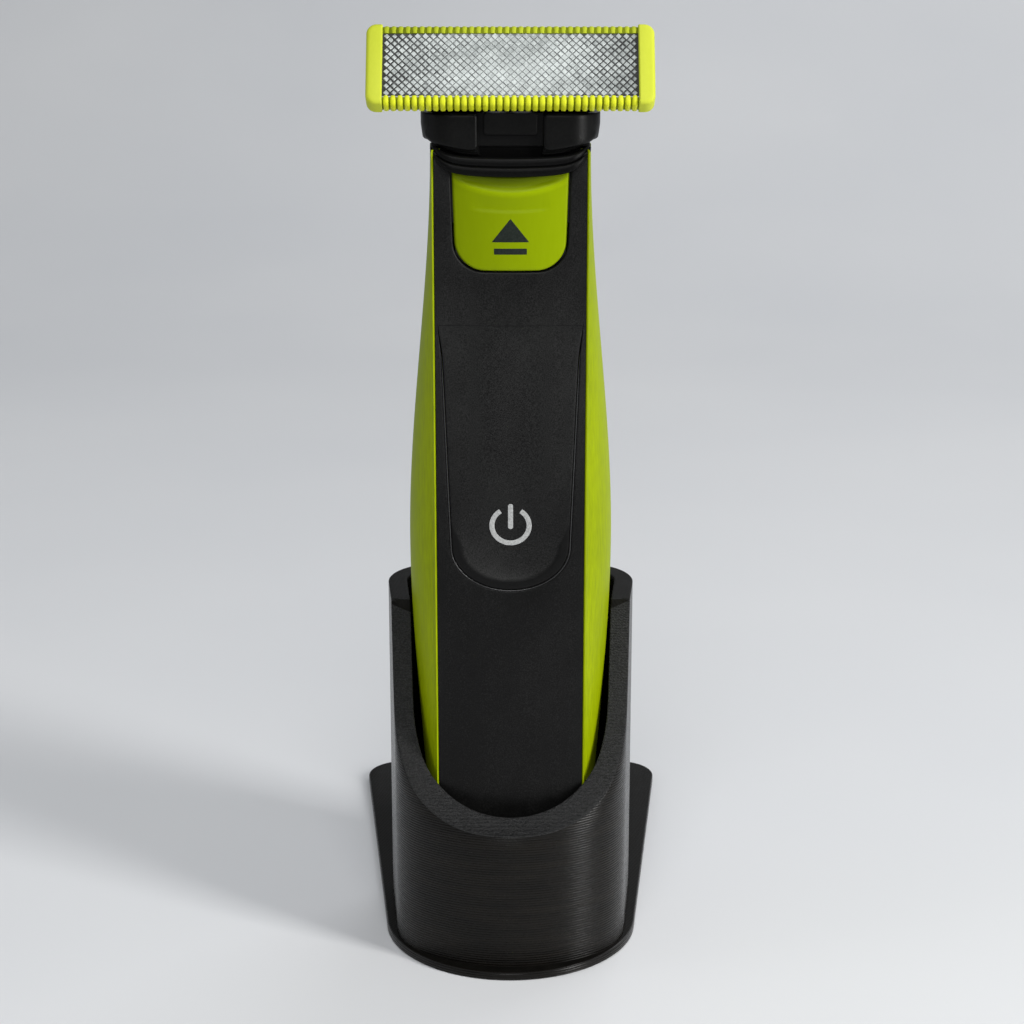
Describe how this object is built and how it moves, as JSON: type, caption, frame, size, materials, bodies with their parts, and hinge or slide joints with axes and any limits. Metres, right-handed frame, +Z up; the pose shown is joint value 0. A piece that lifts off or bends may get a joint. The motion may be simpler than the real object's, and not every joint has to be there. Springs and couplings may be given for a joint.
{
  "type": "trimmer in desk stand",
  "caption": "Cordless trimmer with a wide toothed foil head, standing in a scooped desk cup on a long flat base plate.",
  "frame": {"origin": "underside of the base plate, at the middle of the plate's length and width", "axes": "+Z up, the trimmer's front faces -Y, the plate's long tail runs to +Y"},
  "size_m": [0.0546, 0.088, 0.1492],
  "materials": {
    "printed_black": "layered print",
    "lime_plastic": "satin moulded",
    "black_plastic": "fine spark-eroded grain",
    "inner_plastic": "plain moulded",
    "white_acetal": "smooth moulded",
    "seal_rubber": "matte",
    "foil_steel": "cross-hatched",
    "steel": "bright",
    "spring_steel": "bright",
    "contact_brass": "plated",
    "board_green": "lacquered",
    "lamp_clear": "clear",
    "cell_sleeve": "sleeved can"
  },
  "bodies": {
    "stand": {"stand_body": "printed_black"},
    "handle": {"back_shell": "lime_plastic", "front_cover": "black_plastic", "foot_cap": "black_plastic", "charge_socket": "inner_plastic", "charge_pins": "contact_brass", "chassis": "inner_plastic", "chassis_screws": "steel", "circuit_board": "board_green", "power_switch": "inner_plastic", "status_led": "lamp_clear", "battery_cell": "cell_sleeve", "battery_tabs": "spring_steel", "motor_can": "steel", "motor_mount": "inner_plastic", "motor_screws": "steel", "lever_pivot_pin": "steel", "drive_housing": "inner_plastic", "release_spring": "spring_steel", "neck_collar": "black_plastic", "neck_seal": "seal_rubber"},
    "power_button": {"power_button": "black_plastic"},
    "release_slider": {"release_slider": "lime_plastic"},
    "rotor": {"rotor_shaft": "steel", "crank_cam": "white_acetal"},
    "drive_lever": {"drive_lever": "white_acetal"},
    "blade_mount": {"blade_carrier": "black_plastic", "latch_tab": "black_plastic", "tilt_pins": "steel"},
    "blade_head": {"guard_frame": "lime_plastic", "foil_plate": "foil_steel", "head_base": "black_plastic", "leaf_springs": "spring_steel"},
    "cutter": {"cutter_blade": "foil_steel", "cutter_block": "white_acetal"}
  },
  "joints": [
    {"name": "handle_lift", "type": "slide", "parent": "stand", "child": "handle", "axis": [0, 0, 1], "range_m": [0, 0.06]},
    {"name": "power_press", "type": "hinge", "parent": "handle", "child": "power_button", "pos_m": [0, -0.0352, 0.1048], "axis": [1, 0, 0], "range_deg": [0, 1.09], "stiffness_Nm_per_rad": 4.5},
    {"name": "release_slide", "type": "slide", "parent": "handle", "child": "release_slider", "axis": [0, 0, 1], "range_m": [0, 0.0025], "stiffness_N_per_m": 300, "deforming": ["release_spring"]},
    {"name": "motor_spin", "type": "hinge", "parent": "handle", "child": "rotor", "pos_m": [0, -0.0247, 0.108], "axis": [0, 0, 1], "continuous": true},
    {"name": "lever_swing", "type": "hinge", "parent": "handle", "child": "drive_lever", "pos_m": [0, -0.0247, 0.126], "axis": [0, 1, 0], "range_deg": [-5, 5]},
    {"name": "blade_pull", "type": "slide", "parent": "handle", "child": "blade_mount", "axis": [0, 0, 1], "range_m": [0, 0.015]},
    {"name": "blade_tilt", "type": "hinge", "parent": "blade_mount", "child": "blade_head", "pos_m": [0, -0.03166, 0.14154], "axis": [1, 0, 0], "range_deg": [-10, 10], "stiffness_Nm_per_rad": 0.02},
    {"name": "cutter_slide", "type": "slide", "parent": "blade_head", "child": "cutter", "axis": [1, 0, 0], "range_m": [-0.00107, 0.00107]}
  ],
  "couplings": [
    {"joint": "lever_swing", "follows": "cutter_slide", "rad_per_m": 64.353}
  ]
}
